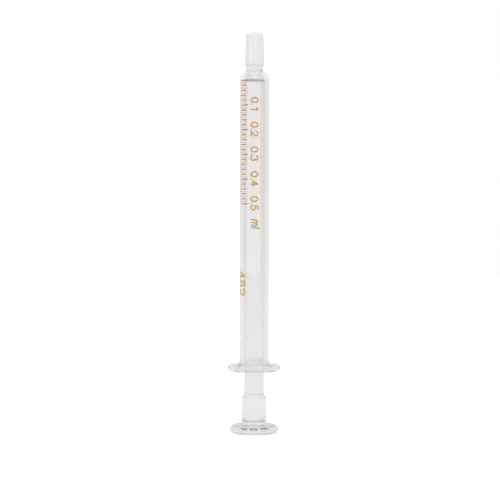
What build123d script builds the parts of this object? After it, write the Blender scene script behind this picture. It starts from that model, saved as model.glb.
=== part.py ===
from build123d import *
import os

os.makedirs("parts", exist_ok=True)

# An all-glass precision syringe of 0.5 ml with a Luer tip, standing on its thumb knob.
# It is two pieces of glass, both turned about Z: the plunger, and the barrel that slides on it.
# z = 0 is the flat of the knob. The plunger is pushed home, with its rod at the end of the bore.
# Lengths and diameters are in millimetres.

# --- The ground fit between the two pieces ---
bore_diameter = 4.70         # 0.5 ml fills 28.8 mm of it
running_clearance = 0.02     # radial, between the ground rod and the bore
end_clearance = 0.02         # between the rod's end and the foot of the funnel, pushed home

# --- Plunger ---
plunger_length = 82.80       # from the knob's flat to the rod's end
knob_diameter = 11.20
knob_thickness = 2.00
knob_rim_reach = 1.34        # how far in the fire-polished rim starts to round over
collar_diameter = 5.50
collar_top = 8.85            # height above the knob's flat
collar_foot_height = 3.60    # the collar flares over this height where it is fused to the knob
collar_foot_flare = 0.70     # radial
bead_proud = 0.07            # the collar's upper edge is melted into a low bead
bead_height = 0.50
neck_root_diameter = 4.72    # the neck's wider root on the collar
neck_root_height = 1.85
neck_diameter = 4.55
ground_rod_length = 65.00    # the part of the rod ground to fit the bore
ground_step_height = 0.30    # from the neck up to the ground surface
rod_end_bevel = 0.20

# --- Barrel ---
tube_diameter = 6.80
bore_depth = 68.32           # from the flange's underside to the foot of the funnel
mouth_lead_in = 0.30         # the bore's mouth is ground to a bevel that leads the rod in
funnel_height = 2.90         # the bore is drawn in over this height to the capillary
flange_diameter = 12.34
flange_thickness = 1.64      # its rim is fire-polished to a full round
flange_blend = 1.18          # radius between the flange's upper face and the tube
shoulder_setback = 0.13      # the shoulder starts this far past the funnel's foot
shoulder_height = 2.72       # blown in from the tube to the waist
waist_diameter = 3.68
waist_to_cone = 0.79         # from the waist's narrowest place to the cone's wide end

# --- Luer cone: the 6 % taper that every Luer fitting shares ---
luer_taper = 0.06            # loss of diameter for each millimetre of length
luer_length = 7.35
luer_end_diameter = 3.98
luer_end_round = 0.45        # the fire-polished end
capillary_diameter = 0.80    # where it leaves the funnel
capillary_mouth_diameter = 1.20
capillary_mouth_chamfer = 0.15

# --- Radii and heights worked out from the sizes above ---
bore_radius = bore_diameter / 2
rod_radius = bore_radius - running_clearance
knob_radius = knob_diameter / 2
collar_radius = collar_diameter / 2
neck_radius = neck_diameter / 2
neck_root_radius = neck_root_diameter / 2
ground_rod_start = plunger_length - ground_rod_length

tube_radius = tube_diameter / 2
flange_radius = flange_diameter / 2
waist_radius = waist_diameter / 2
bore_end = plunger_length + end_clearance
mouth = bore_end - bore_depth
flange_top = mouth + flange_thickness
shoulder_start = bore_end + shoulder_setback
waist = shoulder_start + shoulder_height
cone_start = waist + waist_to_cone
tip_end = cone_start + luer_length
luer_end_radius = luer_end_diameter / 2
cone_start_radius = luer_end_radius + luer_taper * luer_length / 2
cone_slope = luer_taper / 2
capillary_radius = capillary_diameter / 2
capillary_mouth_radius = capillary_mouth_diameter / 2
funnel_depth = bore_radius - capillary_radius


# --- Plunger: knob, collar, neck and ground rod, fused and turned as one ---
with BuildPart() as plunger:
    with BuildSketch(Plane.XZ):
        with BuildLine():
            knob_flat = Line((0, 0), (knob_radius - knob_rim_reach, 0))
            knob_rim = EllipticalCenterArc(
                (knob_radius - knob_rim_reach, knob_thickness / 2),
                knob_rim_reach,
                knob_thickness / 2,
                start_angle=270,
                arc_size=180,
            )
            knob_face = Line(knob_rim @ 1, (collar_radius + collar_foot_flare, knob_thickness))
            # The foot leaves the knob flat and meets the collar upright
            collar_foot = Bezier(
                knob_face @ 1,
                (collar_radius + collar_foot_flare * 0.2, knob_thickness),
                (collar_radius + collar_foot_flare * 0.05, knob_thickness + collar_foot_height * 0.2),
                (collar_radius, knob_thickness + collar_foot_height),
            )
            collar_side = Line(collar_foot @ 1, (collar_radius, collar_top - 1.5 * bead_height))
            bead = ThreePointArc(
                collar_side @ 1,
                (collar_radius + bead_proud, collar_top - bead_height),
                (collar_radius, collar_top - 0.5 * bead_height),
            )
            collar_shoulder = Line(bead @ 1, (neck_root_radius, collar_top))
            neck_root = Bezier(
                collar_shoulder @ 1,
                (neck_radius, collar_top + neck_root_height / 3),
                (neck_radius, collar_top + neck_root_height * 2 / 3),
                (neck_radius, collar_top + neck_root_height),
            )
            neck_side = Line(neck_root @ 1, (neck_radius, ground_rod_start - ground_step_height))
            ground_step = Line(neck_side @ 1, (rod_radius, ground_rod_start))
            ground_side = Line(ground_step @ 1, (rod_radius, plunger_length - rod_end_bevel))
            rod_bevel = Line(ground_side @ 1, (rod_radius - rod_end_bevel, plunger_length))
            rod_end = Line(rod_bevel @ 1, (0, plunger_length))
            plunger_axis = Line(rod_end @ 1, knob_flat @ 0)
        make_face()
    revolve(axis=Axis.Z)

plunger.part.label = "plunger"
export_step(plunger.part, "parts/plunger.step")


# --- Barrel: flange, tube, blown shoulder and Luer cone in one, with the way through cut out ---
with BuildPart() as barrel:
    with BuildSketch(Plane.XZ):
        with BuildLine():
            flange_face = Line((0, mouth), (flange_radius - flange_thickness / 2, mouth))
            flange_rim = CenterArc(
                (flange_radius - flange_thickness / 2, mouth + flange_thickness / 2),
                flange_thickness / 2,
                start_angle=270,
                arc_size=180,
            )
            flange_upper = Line(flange_rim @ 1, (tube_radius + flange_blend, flange_top))
            flange_fillet = RadiusArc(
                flange_upper @ 1, (tube_radius, flange_top + flange_blend), flange_blend
            )
            tube_side = Line(flange_fillet @ 1, (tube_radius, shoulder_start))
            # Both ends of the blown shoulder run along the axis
            shoulder = Bezier(
                tube_side @ 1,
                (tube_radius, shoulder_start + shoulder_height * 0.52),
                (waist_radius, waist - shoulder_height * 0.51),
                (waist_radius, waist),
            )
            cone_foot = Bezier(
                shoulder @ 1,
                (waist_radius, waist + waist_to_cone * 0.47),
                (cone_start_radius, cone_start - waist_to_cone * 0.28),
                (cone_start_radius, cone_start),
            )
            cone_side = Line(
                cone_foot @ 1,
                (luer_end_radius + cone_slope * luer_end_round, tip_end - luer_end_round),
            )
            cone_round = RadiusArc(
                cone_side @ 1,
                (luer_end_radius + cone_slope * luer_end_round - luer_end_round, tip_end),
                -luer_end_round,
            )
            tip_face = Line(cone_round @ 1, (0, tip_end))
            barrel_axis = Line(tip_face @ 1, flange_face @ 0)
        make_face()
    revolve(axis=Axis.Z)

    # The way through: bevelled mouth, precision bore, drawn funnel and widening capillary
    with BuildSketch(Plane.XZ):
        with BuildLine():
            mouth_face = Line((0, mouth), (bore_radius + mouth_lead_in, mouth))
            mouth_bevel = Line(mouth_face @ 1, (bore_radius, mouth + mouth_lead_in))
            bore_side = Line(mouth_bevel @ 1, (bore_radius, bore_end))
            # The funnel leaves the bore almost flat and runs out upright into the capillary
            funnel = Bezier(
                bore_side @ 1,
                (bore_radius - funnel_depth * 0.33, bore_end + funnel_height * 0.05),
                (bore_radius - funnel_depth * 0.69, bore_end + funnel_height * 0.34),
                (capillary_radius, bore_end + funnel_height),
            )
            capillary_side = Line(
                funnel @ 1, (capillary_mouth_radius, tip_end - capillary_mouth_chamfer)
            )
            capillary_lip = Line(
                capillary_side @ 1, (capillary_mouth_radius + capillary_mouth_chamfer, tip_end)
            )
            way_out = Line(capillary_lip @ 1, (0, tip_end))
            bore_axis = Line(way_out @ 1, mouth_face @ 0)
        make_face()
    revolve(axis=Axis.Z, mode=Mode.SUBTRACT)

barrel.part.label = "barrel"
export_step(barrel.part, "parts/barrel.step")
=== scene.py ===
# %% [markdown]
# # A glass syringe in a light studio
# This lesson dresses an all-glass syringe of half a millilitre. The packed model gives the two
# pieces of glass, their sizes and how they slide, and it stays the fixed frame of the scene.
# Glass shows every facet, so both pieces are turned again here, much finer, from the same sizes.

# %% Load the frame
import math

import bpy
import numpy as np
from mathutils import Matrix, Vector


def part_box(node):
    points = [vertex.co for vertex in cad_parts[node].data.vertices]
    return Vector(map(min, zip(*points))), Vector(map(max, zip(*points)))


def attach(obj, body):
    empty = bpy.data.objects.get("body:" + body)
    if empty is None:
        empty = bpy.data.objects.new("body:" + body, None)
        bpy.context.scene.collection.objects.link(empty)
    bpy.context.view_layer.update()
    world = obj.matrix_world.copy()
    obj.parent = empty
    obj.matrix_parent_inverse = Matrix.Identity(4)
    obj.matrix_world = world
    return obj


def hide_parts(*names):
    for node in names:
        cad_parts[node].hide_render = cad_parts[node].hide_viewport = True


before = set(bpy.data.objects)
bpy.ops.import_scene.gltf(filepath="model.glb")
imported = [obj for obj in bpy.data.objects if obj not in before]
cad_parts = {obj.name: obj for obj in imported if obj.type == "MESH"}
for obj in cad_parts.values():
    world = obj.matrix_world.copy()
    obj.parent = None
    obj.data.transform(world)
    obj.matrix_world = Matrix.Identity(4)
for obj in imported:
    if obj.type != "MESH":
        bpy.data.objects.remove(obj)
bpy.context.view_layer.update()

# %% [markdown]
# ## The sizes
# Everything is worked out from a few sizes in millimetres, as a glass blower's drawing gives them.
# Heights start at the flat of the thumb knob. Where each piece begins and ends comes from the
# frame itself, so this file and the solids can't drift apart.

# %% Sizes of the two pieces
MM = 0.001
knob_flat_height, rod_end_height = (corner[2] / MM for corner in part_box("plunger"))
mouth_height, tip_height = (corner[2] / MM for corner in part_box("barrel"))

bore_diameter = 4.70
running_clearance = 0.02
end_clearance = 0.02
bore_radius = bore_diameter / 2
rod_radius = bore_radius - running_clearance
bore_end_height = rod_end_height + end_clearance
tube_radius = 6.80 / 2
print(f"knob's flat {knob_flat_height:.2f}, mouth {mouth_height:.2f}, "
      f"rod end {rod_end_height:.2f}, tip {tip_height:.2f} mm")

# %% [markdown]
# ## Outlines
# A turned piece is known by the outline of one side of it: a list of points (radius, height).
# A straight run would need only its two ends. It gets two more, close to them, because smooth
# shading blends the directions of neighbouring faces, and the short first and last faces keep
# that blend away from the long straight wall. Curves are ellipse arcs and cubic curves.

# %% Runs of an outline
EDGE = 0.03


def straight(start, end):
    """Point = start + t (end - start), with t at both ends and a short step in from each."""
    start, end = np.array(start, float), np.array(end, float)
    step = min(EDGE / np.hypot(*(end - start)), 0.25)
    t = np.array([0, step, 1 - step, 1])[:, None]
    return start + t * (end - start)


def ellipse(centre, reach, rise, first, last, steps=14):
    """Point = centre + (reach cos a, rise sin a), with the angle a from first to last degrees."""
    a = np.radians(np.linspace(first, last, steps + 1))
    return np.array(centre) + np.column_stack([reach * np.cos(a), rise * np.sin(a)])


def cubic(start, pull_out, pull_in, end, steps=26):
    """A cubic curve: it leaves start towards pull_out and arrives at end from pull_in."""
    t = np.linspace(0, 1, steps + 1)[:, None]
    points = [np.array(p, float) for p in (start, pull_out, pull_in, end)]
    weights = [(1 - t) ** 3, 3 * t * (1 - t) ** 2, 3 * t**2 * (1 - t), t**3]
    return sum(w * p for w, p in zip(weights, points))


def outline(*runs):
    """The runs one after another, without the points that two of them share."""
    points = np.vstack(runs)
    fresh = np.hypot(*np.diff(points, axis=0).T) > 1e-6
    return points[np.r_[True, fresh]]


print("a straight run over 1 mm has its points at", straight((0, 0), (0, 1))[:, 1], "mm")


# %% [markdown]
# ## From rings to a mesh
# A turned piece is a stack of rings, and so is a stroke of ink: each is a grid of points with one
# direction that goes round and closes. One function therefore makes every mesh here. The other
# direction either closes too, as on a tube with its bore, or ends in a point at each end.

# %% Rings into a mesh
def grid_faces(rings, around, looped):
    """Quads between each ring and the next, as whole arrays of point numbers."""
    ring = np.arange(rings if looped else rings - 1)[:, None]
    side = np.arange(around)[None, :]
    low, high = ring * around, (ring + 1) % rings * around
    near, far = side, (side + 1) % around
    return np.stack([low + near, low + far, high + far, high + near], axis=-1).reshape(-1, 4)


def capped_faces(rings, around):
    """Quads for the rings between two poles, and a fan of triangles to each pole."""
    quads = grid_faces(rings, around, looped=False)
    side = np.arange(around)
    after = (side + 1) % around
    first_pole, last_pole = rings * around, rings * around + 1
    top = (rings - 1) * around
    bottom_fan = np.column_stack([after, side, np.full(around, first_pole)])
    top_fan = np.column_stack([top + side, top + after, np.full(around, last_pole)])
    return quads, np.vstack([bottom_fan, top_fan])


def make_piece(name, points, quads, triangles, sharp_degrees):
    """A mesh object from points in millimetres, shaded smooth apart from its real edges."""
    mesh = bpy.data.meshes.new(name)
    mesh.from_pydata((points * MM).tolist(), [], quads.tolist() + triangles.tolist())
    mesh.validate()
    mesh.polygons.foreach_set("use_smooth", np.ones(len(mesh.polygons), bool))
    mesh.set_sharp_from_angle(angle=math.radians(sharp_degrees))
    piece = bpy.data.objects.new(name, mesh)
    bpy.context.scene.collection.objects.link(piece)
    print(f"{name}: {len(mesh.vertices)} points, {len(mesh.polygons)} faces")
    return piece


print("3 rings of 4 points are joined by", len(grid_faces(3, 4, looped=False)), "quads")


# %% [markdown]
# ## Turning on the lathe
# Glass is turned in a flame on a lathe, and numpy turns an outline in the same way: the outline's
# radius times the sine and cosine of every angle at once. Angle 0 faces the front of the syringe,
# where its numbers are, and grows to the right. 192 steps leave a chord error of 0.0003 mm on the
# bore, far less than the gap that the rod slides in.

# %% Turned surfaces
AROUND = 192
GLASS_EDGE_DEGREES = 30


def turned_rings(profile, around=AROUND):
    """Point = (radius sin a, -radius cos a, height), for every outline point and every angle a."""
    a = np.arange(around) * 2 * np.pi / around
    radius, height = profile[:, :1], profile[:, 1:]
    return np.stack([radius * np.sin(a), -radius * np.cos(a), height + 0 * a], axis=-1)


def turn_tube(name, profile):
    """A closed outline, out along one wall and back along the other, turned into a tube."""
    rings = turned_rings(profile)
    faces = grid_faces(len(profile), AROUND, looped=True)
    no_fans = np.empty((0, 3), int)
    return make_piece(name, rings.reshape(-1, 3), faces, no_fans, GLASS_EDGE_DEGREES)


def turn_solid(name, profile):
    """An outline that starts and ends on the axis, turned into a solid with two poles."""
    rings = turned_rings(profile[1:-1])
    quads, fans = capped_faces(len(profile) - 2, AROUND)
    poles = np.column_stack([np.zeros((2, 2)), profile[[0, -1], 1]])
    points = np.vstack([rings.reshape(-1, 3), poles])
    return make_piece(name, points, quads, fans, GLASS_EDGE_DEGREES)


chord_error = bore_radius * (1 - math.cos(math.pi / AROUND))
print(f"{AROUND} steps round leave {chord_error:.4f} mm between the bore and its chords")


# %% [markdown]
# ## The plunger
# The plunger is one piece of fused glass: a pressed thumb knob, a collar, a neck, and a solid rod
# that is ground to fit its own barrel. The flame rounds the knob's rim, leaves a low bead where
# the collar ends, and softens the corner behind the bead. The outline runs from the middle of
# the knob's flat, up the outside, to the middle of the rod's end.

# %% Plunger
knob_radius, knob_thickness, knob_rim_reach = 11.20 / 2, 2.00, 1.34
collar_radius, collar_top = 5.50 / 2, 8.85
foot_height, foot_flare = 3.60, 0.70
bead_proud, bead_height, corner_round = 0.07, 0.50, 0.30
neck_root_radius, neck_root_height, neck_radius = 4.72 / 2, 1.85, 4.55 / 2
ground_length, ground_step, rod_bevel = 65.00, 0.30, 0.20
ground_start = rod_end_height - ground_length

plunger_outline = outline(
    straight((0, 0), (knob_radius - knob_rim_reach, 0)),
    ellipse((knob_radius - knob_rim_reach, knob_thickness / 2),
            knob_rim_reach, knob_thickness / 2, -90, 90, steps=40),
    straight((knob_radius - knob_rim_reach, knob_thickness),
             (collar_radius + foot_flare, knob_thickness)),
    cubic((collar_radius + foot_flare, knob_thickness),
          (collar_radius + foot_flare * 0.2, knob_thickness),
          (collar_radius + foot_flare * 0.05, knob_thickness + foot_height * 0.2),
          (collar_radius, knob_thickness + foot_height)),
    straight((collar_radius, knob_thickness + foot_height),
             (collar_radius, collar_top - 1.5 * bead_height)),
    ellipse((collar_radius, collar_top - bead_height), bead_proud, bead_height / 2, -90, 90),
    cubic((collar_radius, collar_top - 0.5 * bead_height),
          (collar_radius - corner_round, collar_top - 0.5 * bead_height),
          (neck_root_radius, collar_top - corner_round * 2 / 3),
          (neck_root_radius, collar_top), steps=16),
    cubic((neck_root_radius, collar_top),
          (neck_radius, collar_top + neck_root_height / 3),
          (neck_radius, collar_top + neck_root_height * 2 / 3),
          (neck_radius, collar_top + neck_root_height)),
    straight((neck_radius, collar_top + neck_root_height),
             (neck_radius, ground_start - ground_step)),
    straight((neck_radius, ground_start - ground_step), (rod_radius, ground_start)),
    straight((rod_radius, ground_start), (rod_radius, rod_end_height - rod_bevel)),
    straight((rod_radius, rod_end_height - rod_bevel), (rod_radius - rod_bevel, rod_end_height)),
    straight((rod_radius - rod_bevel, rod_end_height), (0, rod_end_height)),
)
plunger = turn_solid("plunger_glass", plunger_outline)
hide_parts("plunger")
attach(plunger, "plunger")

# %% [markdown]
# ## The barrel
# The barrel is drawn over a mandrel, so its bore is exact, and then worked in the flame: the
# flange is pressed at one end, and the other is blown in to a waist and drawn out to the Luer
# cone. The outline goes up the outside, over the rounded tip, and back down the inside through
# the capillary and the bore.

# %% Barrel
flange_radius, flange_thickness, flange_blend, mouth_lead_in = 12.34 / 2, 1.64, 1.18, 0.30
shoulder_setback, shoulder_height, waist_radius, waist_to_cone = 0.13, 2.72, 3.68 / 2, 0.79
funnel_height, funnel_depth = 2.90, bore_radius - 0.80 / 2
luer_taper, luer_length, luer_end_radius, luer_end_round = 0.06, 7.35, 3.98 / 2, 0.45
capillary_radius, capillary_mouth_radius, capillary_lip = 0.80 / 2, 1.20 / 2, 0.15
flange_top = mouth_height + flange_thickness
shoulder_start = bore_end_height + shoulder_setback
waist_height = shoulder_start + shoulder_height
cone_start = waist_height + waist_to_cone
cone_start_radius = luer_end_radius + luer_taper * luer_length / 2
round_radius = luer_end_radius + luer_taper / 2 * luer_end_round

barrel_outside = outline(
    straight((bore_radius + mouth_lead_in, mouth_height),
             (flange_radius - flange_thickness / 2, mouth_height)),
    ellipse((flange_radius - flange_thickness / 2, mouth_height + flange_thickness / 2),
            flange_thickness / 2, flange_thickness / 2, -90, 90, steps=40),
    straight((flange_radius - flange_thickness / 2, flange_top),
             (tube_radius + flange_blend, flange_top)),
    ellipse((tube_radius + flange_blend, flange_top + flange_blend),
            flange_blend, flange_blend, 270, 180, steps=24),
    straight((tube_radius, flange_top + flange_blend), (tube_radius, shoulder_start)),
    cubic((tube_radius, shoulder_start),
          (tube_radius, shoulder_start + shoulder_height * 0.52),
          (waist_radius, waist_height - shoulder_height * 0.51),
          (waist_radius, waist_height), steps=36),
    cubic((waist_radius, waist_height),
          (waist_radius, waist_height + waist_to_cone * 0.47),
          (cone_start_radius, cone_start - waist_to_cone * 0.28),
          (cone_start_radius, cone_start)),
    straight((cone_start_radius, cone_start), (round_radius, tip_height - luer_end_round)),
    ellipse((round_radius - luer_end_round, tip_height - luer_end_round),
            luer_end_round, luer_end_round, 0, 90),
)
barrel_inside = outline(
    straight((capillary_mouth_radius + capillary_lip, tip_height),
             (capillary_mouth_radius, tip_height - capillary_lip)),
    straight((capillary_mouth_radius, tip_height - capillary_lip),
             (capillary_radius, bore_end_height + funnel_height)),
    cubic((capillary_radius, bore_end_height + funnel_height),
          (bore_radius - funnel_depth * 0.69, bore_end_height + funnel_height * 0.34),
          (bore_radius - funnel_depth * 0.33, bore_end_height + funnel_height * 0.05),
          (bore_radius, bore_end_height), steps=40),
    straight((bore_radius, bore_end_height), (bore_radius, mouth_height + mouth_lead_in)),
    straight((bore_radius, mouth_height + mouth_lead_in),
             (bore_radius + mouth_lead_in, mouth_height)),
)
barrel_outline = outline(barrel_outside, barrel_inside)[:-1]
barrel = turn_tube("barrel_glass", barrel_outline)
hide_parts("barrel")
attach(barrel, "barrel")

# %% [markdown]
# ## Ink strokes
# All that is written on the glass is fired ink: a low bead that has sunk in a little. Each stroke
# is one line drawn with a round pen, so it is made as one: an oval section is carried along the
# line, and shrinks to nothing over half a pen's width past both ends. The line is drawn on the
# unrolled barrel, across and up in millimetres, and then wrapped round it.

# %% The pen
PEN_SIDES = 10
INK_PROUD, INK_SUNK, INK_COVER = 0.012, 0.006, 0.002
INK_EDGE_DEGREES = 80


def pen_rings(line, pen, pressure):
    """Section = side step cos b across the line and sin b off the glass, under a round pen tip.

    The angle b runs clockwise, seen along the line, so that the faces look outwards."""
    steps = np.diff(line, axis=0)
    length = np.r_[0, np.cumsum(np.hypot(*steps.T))]
    nose = pen / 2 * np.sin(np.linspace(-np.pi / 2, 0, 6)[1:-1])
    along = np.r_[nose, length, length[-1] - nose[::-1]]
    way = np.gradient(line, length, axis=0)
    way /= np.hypot(*way.T)[:, None]
    inside = np.clip(along, 0, length[-1])
    centre = np.column_stack([np.interp(inside, length, line[:, i]) for i in range(2)])
    ahead = np.column_stack([np.interp(inside, length, way[:, i]) for i in range(2)])
    beyond = along - inside
    centre = centre + ahead * beyond[:, None]
    half = np.sqrt((pen / 2) ** 2 - beyond**2) * np.interp(inside, length, pressure)
    b = -np.arange(PEN_SIDES) * 2 * np.pi / PEN_SIDES
    across = half[:, None] * np.cos(b)
    off = half[:, None] / (pen / 2) * np.where(np.sin(b) > 0, INK_PROUD, INK_SUNK) * np.sin(b)
    sideways = np.column_stack([ahead[:, 1], -ahead[:, 0]])
    flat = centre[:, None, :] + across[..., None] * sideways[:, None]
    tips = np.array([line[0] - way[0] * pen / 2, line[-1] + way[-1] * pen / 2])
    return flat, off, tips


print(f"ink stands {INK_PROUD} mm off the glass and {INK_SUNK} mm into it")

# %% [markdown]
# ## Ink on the glass
# The pen's strokes are still flat, so they are wrapped round the barrel or laid just inside the
# knob's flat. All the strokes of one print then make one piece, which rides with its glass. That
# keeps the list of pieces as short as the list of things that are printed.

# %% Ink on the glass
def wrap(flat, off):
    """Point = (r sin a, -r cos a, up), where r = tube radius + off and a = across / tube radius."""
    angle = flat[..., 0] / tube_radius
    radius = tube_radius + off
    return np.stack([radius * np.sin(angle), -radius * np.cos(angle), flat[..., 1]], axis=-1)


def lay(flat, off):
    """Point = (across, up, depth in the knob): this ink lies just inside the knob's flat."""
    return np.stack([flat[..., 0], flat[..., 1], off + INK_SUNK + INK_COVER], axis=-1)


def steady(line):
    """The pen is pressed as hard all along the line."""
    return np.ones(len(line))


def ink(name, lines, pen, place, body, press=steady):
    """All the strokes of one print, as one piece that rides with its glass."""
    points, quads, fans, count = [], [], [], 0
    for line in lines:
        flat, off, tips = pen_rings(line, pen, press(line))
        rings = place(flat, off).reshape(-1, 3)
        poles = place(tips, np.zeros(2))
        more_quads, more_fans = capped_faces(len(flat), PEN_SIDES)
        points += [rings, poles]
        quads.append(more_quads + count)
        fans.append(more_fans + count)
        count += len(rings) + 2
    solids = np.vstack(points), np.vstack(quads), np.vstack(fans)
    piece = make_piece(name, *solids, INK_EDGE_DEGREES)
    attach(piece, body)


print(f"a millimetre across goes {math.degrees(1 / tube_radius):.1f} degrees round the barrel")


# %% [markdown]
# ## The scale
# One hundredth of a millilitre is 10 cubic millimetres, so the bore's area gives the distance
# between two lines. Zero is where the rod ends when it is pushed home. Lines are longer at each
# even hundredth, and longest at each tenth. They all start on one upright line round the side,
# and start lightly: the pen touches the turning tube there and is pressed on as it goes round.

# %% Scale lines
division = 10 / (math.pi * bore_radius**2)
zero_setback = 0.29
zero_height = rod_end_height - zero_setback
last_line = 50
scale_height = last_line * division
scale_back, full_press = -80.0, -55.0
line_fronts = {"tenth": -29.7, "even": -41.0, "odd": -58.5}
line_pen, line_steps, first_touch = 0.26, 24, 0.2


def scale_line(number):
    """A level line round the barrel, from the back of the scale to the front of its kind."""
    kind = "tenth" if number % 10 == 0 else "even" if number % 2 == 0 else "odd"
    across = np.radians(np.linspace(scale_back, line_fronts[kind], line_steps)) * tube_radius
    return np.column_stack([across, np.full(line_steps, zero_height - number * division)])


def light_start(line):
    """Pressure = the bearing's share of the way from scale_back to full_press, kept between
    first_touch and 1."""
    bearing = np.degrees(line[:, 0] / tube_radius)
    return np.clip((bearing - scale_back) / (full_press - scale_back), first_touch, 1)


scale_lines = [scale_line(number) for number in range(last_line + 1)]
ink("scale_lines", scale_lines, line_pen, wrap, "barrel", light_start)
print(f"one division is {division:.4f} mm, the whole scale {scale_height:.2f} mm")

# %% [markdown]
# ## The figures
# The figures are drawn with a slightly wider pen, in plain technical lettering. Each is a few
# lines in a box as high as 1, from left to right and from the foot up. They read down the barrel,
# so a step to the right in the text is a step down on the glass, and a step up goes round it.

# %% Lettering
def bow(centre, reach, rise, first, last):
    """A stretch of an ellipse, drawn as one stroke."""
    return ellipse(centre, reach, rise, first, last, steps=max(4, int(abs(last - first) / 12)))


def ruled(*points):
    """A stroke of straight stretches, each cut in four so that it bends with the barrel."""
    points = np.array(points, float)
    t = np.linspace(0, 1, 4 * (len(points) - 1) + 1) * (len(points) - 1)
    return np.column_stack([np.interp(t, np.arange(len(points)), points[:, i]) for i in range(2)])


FIGURES = {
    "0": [bow((0.35, 0.5), 0.35, 0.5, 90, 450)],
    "1": [ruled((0.45, 0), (0.45, 1)), ruled((0.45, 1), (0.2, 0.84))],
    "2": [bow((0.33, 0.68), 0.32, 0.32, 170, -30), ruled((0.61, 0.52), (0.02, 0)),
          ruled((0.02, 0), (0.68, 0))],
    "3": [bow((0.29, 0.76), 0.3, 0.24, 165, -65), bow((0.29, 0.28), 0.34, 0.28, 65, -165)],
    "4": [ruled((0.5, 0), (0.5, 1)), ruled((0.5, 1), (0.02, 0.3)), ruled((0.02, 0.3), (0.7, 0.3))],
    "5": [ruled((0.58, 1.03), (0.1, 1.03)), ruled((0.1, 1.03), (0.05, 0.56)),
          bow((0.29, 0.32), 0.35, 0.32, 132, -160)],
    "8": [bow((0.33, 0.75), 0.25, 0.25, -90, 270), bow((0.33, 0.25), 0.33, 0.26, 90, 450)],
    ".": [ruled((-0.02, 0.05), (0.02, 0.05))],
}
ADVANCE, POINT_ADVANCE = 0.98, 0.32


def lettering(text, height, baseline, start):
    """Across = baseline + height v and up = start - height u, for each stroke's points (u, v)."""
    lines, pen_at = [], 0.0
    for character in text:
        for stroke in FIGURES[character]:
            u, v = stroke[:, 0] + pen_at, stroke[:, 1]
            lines.append(np.column_stack([baseline + height * v, start - height * u]))
        pen_at += POINT_ADVANCE if character == "." else ADVANCE
    return lines


figure_height, figure_pen = 1.60, 0.29
figure_base, figure_lead = -0.82, 1.62
figures = []
for tenth in range(1, 6):
    line_height = zero_height - 10 * tenth * division
    figures += lettering(f"0.{tenth}", figure_height, figure_base, line_height + figure_lead)
ink("scale_figures", figures, figure_pen, wrap, "barrel")
print("figures:", len(figures), "strokes")

# %% [markdown]
# ## The unit and the pair number
# The unit is written once below the scale, in a slanted hand. A ground plunger fits only its own
# barrel, so both carry the same number: one on the barrel's side, one under the thumb knob, where
# it is seen through the glass.

# %% Unit and pair number
def slanted(stroke, slant=0.2):
    """u moves on by slant times v, as in italic writing."""
    return np.column_stack([stroke[:, 0] + slant * stroke[:, 1], stroke[:, 1]])


UNIT = [
    ruled((0, 0), (0, 0.80)),
    bow((0.20, 0.55), 0.20, 0.28, 180, 0),
    ruled((0.40, 0.55), (0.40, 0)),
    bow((0.60, 0.55), 0.20, 0.28, 180, 0),
    ruled((0.80, 0.55), (0.80, 0)),
    ruled((1.08, 0), (1.08, 1.18)),
]
unit_gap, unit_lift = 3.68, 0.15
unit_start = zero_height - scale_height - unit_gap
unit_base = figure_base + unit_lift
unit_lines = [
    np.column_stack([unit_base + figure_height * s[:, 1], unit_start - figure_height * s[:, 0]])
    for s in map(slanted, UNIT)
]
ink("unit", unit_lines, figure_pen, wrap, "barrel")

pair_number = "482"
pair_height, pair_base, pair_start, pair_pen = 2.05, -4.55, 37.77, 0.30
pair_lines = lettering(pair_number, pair_height, pair_base, pair_start)
ink("pair_number_barrel", pair_lines, pair_pen, wrap, "barrel")


def underside(lines):
    """Centres the text on the knob's flat; the knob's front is the text's foot."""
    points = np.vstack(lines)
    middle = (points.max(axis=0) + points.min(axis=0)) / 2
    return [np.column_stack([(middle - line)[:, 1], (line - middle)[:, 0]]) for line in lines]


knob_number_height, knob_number_pen = 1.7, 0.32
knob_lines = underside(lettering(pair_number, knob_number_height, 0, 0))
ink("pair_number_knob", knob_lines, knob_number_pen, lay, "plunger")

# %% [markdown]
# ## Shader maths in Python
# A material is a small calculation for each point of the surface. To write it as one, a class
# stands for a number that a node puts out, and its operators add the Math nodes.

# %% Signals that take sums
class Signal:
    """A node's output; + - * and ** between signals and numbers add Math nodes."""

    def __init__(self, graph, socket):
        self.graph, self.socket = graph, socket

    def _math(self, operation, first, second):
        node = self.graph.add("ShaderNodeMath", {"operation": operation}, {0: first, 1: second})
        return Signal(self.graph, node.outputs[0])

    def __add__(self, other):
        return self._math("ADD", self, other)

    __radd__ = __add__

    def __sub__(self, other):
        return self._math("SUBTRACT", self, other)

    def __rsub__(self, other):
        return self._math("SUBTRACT", other, self)

    def __mul__(self, other):
        return self._math("MULTIPLY", self, other)

    __rmul__ = __mul__

    def __pow__(self, other):
        return self._math("POWER", self, other)

    def bearing_from(self, other):
        """The angle whose tangent is self over other, in degrees from -180 to 180."""
        return self._math("ARCTAN2", self, other) * (180 / math.pi)

    def size(self):
        """The number without its sign."""
        return self._math("ABSOLUTE", self, 0.0)


print("a signal takes", [name for name in vars(Signal) if name not in vars(object)])

# %% [markdown]
# ## A graph of nodes
# Every other node comes from one method, which sets what the node is before it links what goes
# in, because some nodes change their inputs with their settings. A smooth step is the one shape
# that all the masks here are made of.

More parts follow.
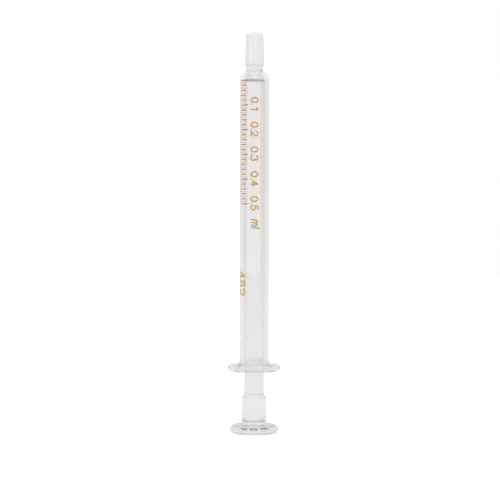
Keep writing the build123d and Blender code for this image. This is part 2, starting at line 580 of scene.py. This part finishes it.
# %% A graph of nodes
class Graph:
    """The node tree of one material or world."""

    def __init__(self, tree):
        self.tree = tree
        tree.nodes.clear()

    def add(self, kind, settings=None, inputs=None):
        """A node: its settings first, and then a link or a plain value for each input."""
        node = self.tree.nodes.new(kind)
        for name, value in (settings or {}).items():
            setattr(node, name, value)
        for name, value in (inputs or {}).items():
            if isinstance(value, Signal):
                self.tree.links.new(value.socket, node.inputs[name])
            else:
                node.inputs[name].default_value = value
        return node

    def signal(self, kind, output=0, settings=None, inputs=None):
        """The same, for a node of which one output is wanted."""
        return Signal(self, self.add(kind, settings, inputs).outputs[output])

    def step(self, value, low, high):
        """0 below low and 1 above high, with a smooth rise between them."""
        settings = {"interpolation_type": "SMOOTHSTEP"}
        inputs = {"Value": value, "From Min": low, "From Max": high}
        return self.signal("ShaderNodeMapRange", 0, settings, inputs)


def new_material(name):
    """An empty material and the graph to fill it with."""
    material = bpy.data.materials.new(name)
    material.use_nodes = True
    return material, Graph(material.node_tree)


def finish_material(graph, shader):
    """Leads the shader to the surface."""
    graph.add("ShaderNodeOutputMaterial", inputs={"Surface": Signal(graph, shader.outputs[0])})


print("a graph is built with", [name for name in vars(Graph) if not name.startswith("_")])


# %% [markdown]
# ## Clear glass
# Drawn glass is smooth, but not perfect. The draw leaves faint lines along the tube, which go into
# a bump so slight that only a highlight shows it, and handling leaves patches that are a trace
# less clear. The bore is honed to size and stays finely matt, as far up as the rod reaches, so
# whatever lies behind it is seen a little soft.

# %% Clear glass
GLASS_IOR = 1.47
POLISHED, SMEARED, HONED = 0.004, 0.03, 0.18


def draw_waves(graph, place, along, fine):
    """Noise that is stretched along the axis, as the draw of a tube leaves it."""
    stretch = {"vector_type": "POINT"}
    vector = graph.signal("ShaderNodeMapping", 0, stretch,
                          {"Vector": place, "Scale": (1, 1, along)})
    return graph.signal("ShaderNodeTexNoise", 0, None,
                        {"Vector": vector, "Scale": fine, "Detail": 2.0})


def clear_glass():
    """Roughness = polished + smeared in some patches + honed on the bore, up to the rod's end."""
    material, graph = new_material("clear_glass")
    place = graph.signal("ShaderNodeTexCoord", "Object")
    draw = draw_waves(graph, place, 0.06, 900.0)
    smears = draw_waves(graph, place, 0.5, 260.0)
    split = graph.add("ShaderNodeSeparateXYZ", inputs={"Vector": place})
    x, y, z = (Signal(graph, split.outputs[i]) for i in range(3))
    off_axis = (x * x + y * y) ** 0.5
    in_bore = 1 - graph.step(off_axis, (bore_radius + 0.01) * MM, (bore_radius + 0.06) * MM)
    past_the_rod = graph.step(z, (bore_end_height - 0.3) * MM, (bore_end_height - 0.1) * MM)
    honed = in_bore * (1 - past_the_rod)
    bump = graph.signal("ShaderNodeBump", "Normal", None,
                        {"Strength": 0.03, "Distance": 0.00002, "Height": draw})
    shader = graph.add("ShaderNodeBsdfPrincipled", inputs={
        "Base Color": (1, 0.9965, 0.997, 1), "IOR": GLASS_IOR, "Transmission Weight": 1.0,
        "Roughness": POLISHED + SMEARED * graph.step(smears, 0.55, 0.75) + HONED * honed,
        "Normal": bump})
    finish_material(graph, shader)
    return material


barrel.data.materials.append(clear_glass())
print("clear glass, refractive index", GLASS_IOR)

# %% [markdown]
# ## Ground glass
# The rod, the neck and the collar are ground: thousands of tiny facets scatter the light, and the
# glass turns from clear to pale grey. Grinding turns the piece under the stone, so its marks run
# round. The thumb knob isn't ground, and the finish changes over at the collar's foot. The neck
# is only turned, which leaves it a little greyer than the rod. Where the scale runs, the rod is
# given a faint warm tinge of painted light, for the amber light that the print throws into the
# ground glass, and a dark ring of painted shade lies round the bevel at its end, for the dark arc
# that the rod's end shows through the barrel. So the colour is a chain of mixes, each of which
# takes over at some height.

# %% Ground glass
knob_tint = (1, 0.996, 0.995, 1)
collar_tint = (0.979, 0.9685, 0.9785, 1)
neck_tint = (0.947, 0.9375, 0.9365, 1)
rod_tint = (1, 1, 1, 1)
# The warm tint below is painted light: the amber glow that the scale's print throws into the rod.
painted_scale_light_tint = (1, 0.975, 0.958, 1)
# The dark colour below is painted shade: the dark arc that the rod's end shows through the barrel.
painted_end_shade = (0.08, 0.03, 0.02, 1)


def ground_glass():
    """Colour = a chain of mixes up the plunger; roughness and relief = ground share times noise."""
    material, graph = new_material("ground_glass")
    place = graph.signal("ShaderNodeTexCoord", "Object")
    split = graph.add("ShaderNodeSeparateXYZ", inputs={"Vector": place})
    height = Signal(graph, split.outputs["Z"])
    ground = graph.step(height, 2.1 * MM, 2.7 * MM)
    marks = draw_waves(graph, place, 9.0, 1500.0)
    cloud = draw_waves(graph, place, 1.0, 420.0)
    grain = draw_waves(graph, place, 1.0, 9000.0)
    relief = (0.6 * grain + 0.4 * marks) * ground
    bump = graph.signal("ShaderNodeBump", "Normal", None,
                        {"Strength": 0.25, "Distance": 0.00001, "Height": relief})
    # Painted light: the warm tint comes in over the rod's length under the scale, in patches.
    painted_scale_light = graph.step(height, 47 * MM, 56 * MM) * (0.7 + 0.6 * cloud)
    collar_to_neck = graph.step(height, (collar_top - 0.2) * MM, (collar_top + 0.1) * MM)
    neck_to_rod = graph.step(height, (ground_start - ground_step) * MM, ground_start * MM)
    tint = knob_tint
    for changed, next_tint in [(ground, collar_tint), (collar_to_neck, neck_tint),
                               (neck_to_rod, rod_tint), (painted_scale_light, painted_scale_light_tint)]:
        tint = graph.signal("ShaderNodeMix", "Result", {"data_type": "RGBA"},
                            {"Factor": changed, "A": tint, "B": next_tint})
    x, y = (Signal(graph, split.outputs[i]) for i in range(2))
    off_axis = (x ** 2 + y ** 2) ** 0.5
    # Painted shade: a dark ring on the bevel at the rod's end.
    end_shade_ring = (graph.step(height, (rod_end_height - 0.22) * MM, (rod_end_height - 0.17) * MM)
                * graph.step(off_axis, (rod_radius - 0.50) * MM, (rod_radius - 0.40) * MM))
    colour = graph.signal("ShaderNodeMix", "Result", {"data_type": "RGBA"}, {
        "Factor": end_shade_ring * (0.5 + 0.9 * cloud), "A": tint, "B": painted_end_shade})
    shader = graph.add("ShaderNodeBsdfPrincipled", inputs={
        "Base Color": colour, "IOR": GLASS_IOR, "Transmission Weight": 1.0,
        "Roughness": 0.01 + ground * (0.10 + 0.08 * cloud), "Normal": bump})
    finish_material(graph, shader)
    return material


plunger.data.materials.append(ground_glass())
print("ground glass:", len(plunger.data.materials[0].node_tree.nodes), "nodes")

# %% [markdown]
# ## Fired inks
# The inks are ceramic colours, fired until they fuse: amber for the figures, the unit and the
# barrel's number, a rusty one for the lines, and a reddish brown under the knob. Each has small
# pale spots where less of it was laid on. Nearly a third of the light goes through, as through
# stained glass, so a line on the far side glows instead of going black.

# %% Fired inks
SHARE_THROUGH = 0.3


def fired_ink(name, thin, thick, glow):
    """Most light bounces off the ink, and some of it passes through, as through stained glass."""
    material, graph = new_material(name)
    place = graph.signal("ShaderNodeTexCoord", "Object")
    spots = draw_waves(graph, place, 1.0, 5200.0)
    colour = graph.signal("ShaderNodeMix", "Result", {"data_type": "RGBA"}, {
        "Factor": graph.step(spots, 0.35, 0.70), "A": (*thick, 1), "B": (*thin, 1)})
    face = graph.add("ShaderNodeBsdfPrincipled", inputs={
        "Base Color": colour, "Roughness": 0.40 + 0.15 * spots, "Specular IOR Level": 0.2})
    through = graph.add("ShaderNodeBsdfTranslucent", inputs={"Color": (*glow, 1)})
    both = graph.add("ShaderNodeMixShader", inputs={
        0: SHARE_THROUGH, 1: Signal(graph, face.outputs[0]), 2: Signal(graph, through.outputs[0])})
    finish_material(graph, both)
    return material


amber = fired_ink("amber_print", (0.76, 0.43, 0.02), (0.66, 0.34, 0.008), (0.90, 0.60, 0.10))
rust = fired_ink("rust_print", (0.78, 0.36, 0.07), (0.66, 0.27, 0.03), (0.90, 0.50, 0.15))
brown = fired_ink("brown_print", (0.92, 0.44, 0.24), (0.78, 0.33, 0.15), (0.95, 0.60, 0.38))
prints = {"scale_lines": rust, "scale_figures": amber, "unit": amber,
          "pair_number_barrel": amber, "pair_number_knob": brown}
for name, material in prints.items():
    bpy.data.objects[name].data.materials.append(material)
print("inks:", {name: material.name for name, material in prints.items()})

# %% [markdown]
# ## Camera
# A small shiny thing is best seen from far away through a long lens, so that both ends of it are
# seen almost square on. This lens looks level at the middle of the syringe from a third of a
# metre. The camera leans by an eighth of a degree, as a syringe does that stands on its own knob.

# %% Camera
camera_data = bpy.data.cameras.new("camera")
camera_data.lens = 100
camera_data.sensor_width = 36
camera_data.clip_start = 0.01
camera = bpy.data.objects.new("camera", camera_data)
camera.location = (-0.00102, -0.3264, 0.0429)
camera.rotation_euler = (math.radians(90), math.radians(-0.12), 0)
bpy.context.scene.collection.objects.link(camera)
bpy.context.scene.camera = camera
camera_place = tuple(round(value, 4) for value in camera.location)
print("camera at", camera_place, "with a lens of", camera_data.lens, "mm")

# %% [markdown]
# ## The floor card
# The syringe stands on matt white card. A camera ray sees the card brighter than the light makes
# it, so that it runs into the white behind it and still keeps the contact shadow, and a ray that
# comes through glass sees it a trace brighter.
# The card lies a hair below the knob: two surfaces at exactly one height would flicker. It isn't
# part of the syringe, but it moves with the plunger, whose knob stands on it: so the syringe
# stands on it too when the plunger is drawn out, and no length of glass sinks into the card.

# %% Floor card
floor_drop = 0.04
edge = 2000.0
corners = np.array([(-edge, -edge), (edge, -edge), (edge, edge), (-edge, edge)])
corners = np.column_stack([corners, np.full(4, -floor_drop)])
floor_mesh = bpy.data.meshes.new("floor")
floor_mesh.from_pydata((corners * MM).tolist(), [], [(0, 1, 2, 3)])
floor = bpy.data.objects.new("floor", floor_mesh)
bpy.context.scene.collection.objects.link(floor)
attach(floor, "plunger")

card, graph = new_material("floor_card")
rays = graph.add("ShaderNodeLightPath")
seen_lift, through_lift = 0.40, 0.07
lift = seen_lift * Signal(graph, rays.outputs["Is Camera Ray"])
lift = lift + through_lift * Signal(graph, rays.outputs["Is Transmission Ray"])
glow = graph.signal("ShaderNodeMix", "Result", {"data_type": "RGBA"}, {
    "Factor": lift, "A": (0, 0, 0, 1), "B": (1, 1, 1, 1)})
shader = graph.add("ShaderNodeBsdfPrincipled", inputs={
    "Base Color": (0.93, 0.93, 0.93, 1), "Roughness": 0.9, "Specular IOR Level": 0.0,
    "Emission Color": glow, "Emission Strength": 1.0})
finish_material(graph, shader)
floor.data.materials.append(card)
print("floor card", round(2 * edge * MM, 1), "metres wide")

# %% [markdown]
# ## The light tent
# Glass has no colour of its own: it shows what is round it. So the light is a tent, a world that
# gives a plain soft white from every side. It is a little darker at the sides, which draws the
# edges of the glass, and on the slope above, which draws the shoulder. In front hangs one wide soft
# panel with two tall strips at its ends, and they leave the long upright highlights. Straight
# overhead the tent is open and brighter. The camera itself sees plain white behind the syringe.

# %% Light tent
world = bpy.data.worlds.new("studio")
bpy.context.scene.world = world
world.use_nodes = True
graph = Graph(world.node_tree)
rays = graph.add("ShaderNodeLightPath")
direct = Signal(graph, rays.outputs["Is Camera Ray"])
through = Signal(graph, rays.outputs["Is Transmission Ray"])
way = graph.add("ShaderNodeSeparateXYZ", inputs={
    "Vector": graph.signal("ShaderNodeTexCoord", "Generated")})
x, y, z = (Signal(graph, way.outputs[i]) for i in range(3))
bearing = x.bearing_from(0 - y)
from_behind = 180 - bearing.size()


def panel(left, right, soft):
    """1 between two bearings, seen from the syringe, with a soft edge at each."""
    past_left = graph.step(bearing, left - soft, left + soft)
    return past_left * (1 - graph.step(bearing, right - soft, right + soft))


soft_white, side_shade, slope_shade = 0.81, 0.10, 0.08
panel_light, strip_light, open_top = 1.3, 2.2, 0.24
at_the_side = graph.step(from_behind, 40.0, 65.0)
tent = soft_white - side_shade * at_the_side - slope_shade * graph.step(z, 0.20, 0.45)
above_floor = graph.step(z, -0.25, -0.15)
wide = above_floor * (1 - graph.step(z, 0.40, 0.50)) * panel(-60, 40, 2)
both_ends = panel(-55, -48, 1.5) + panel(31, 38, 1.5)
strips = above_floor * (1 - graph.step(z, 0.85, 0.92)) * both_ends
overhead = graph.step(z, 0.85, 0.93)
in_front = (1 - through) * (panel_light * wide + strip_light * strips)
in_the_tent = tent + in_front + open_top * overhead
background = graph.add("ShaderNodeBackground", inputs={
    "Color": (1, 1, 1, 1), "Strength": direct + (1 - direct) * in_the_tent})
graph.add("ShaderNodeOutputWorld", inputs={"Surface": Signal(graph, background.outputs[0])})
print("light tent:", len(world.node_tree.nodes), "nodes")

# %% [markdown]
# ## Finish
# Light goes a long way inside a thick glass wall before it comes out, so it is followed for up to
# 48 turns: with fewer, the deep parts of the glass would go black.

# %% Finish
scene = bpy.context.scene
scene.view_settings.view_transform = "Standard"
turns = 48
scene.cycles.max_bounces = turns
scene.cycles.transmission_bounces = turns
scene.cycles.glossy_bounces = turns
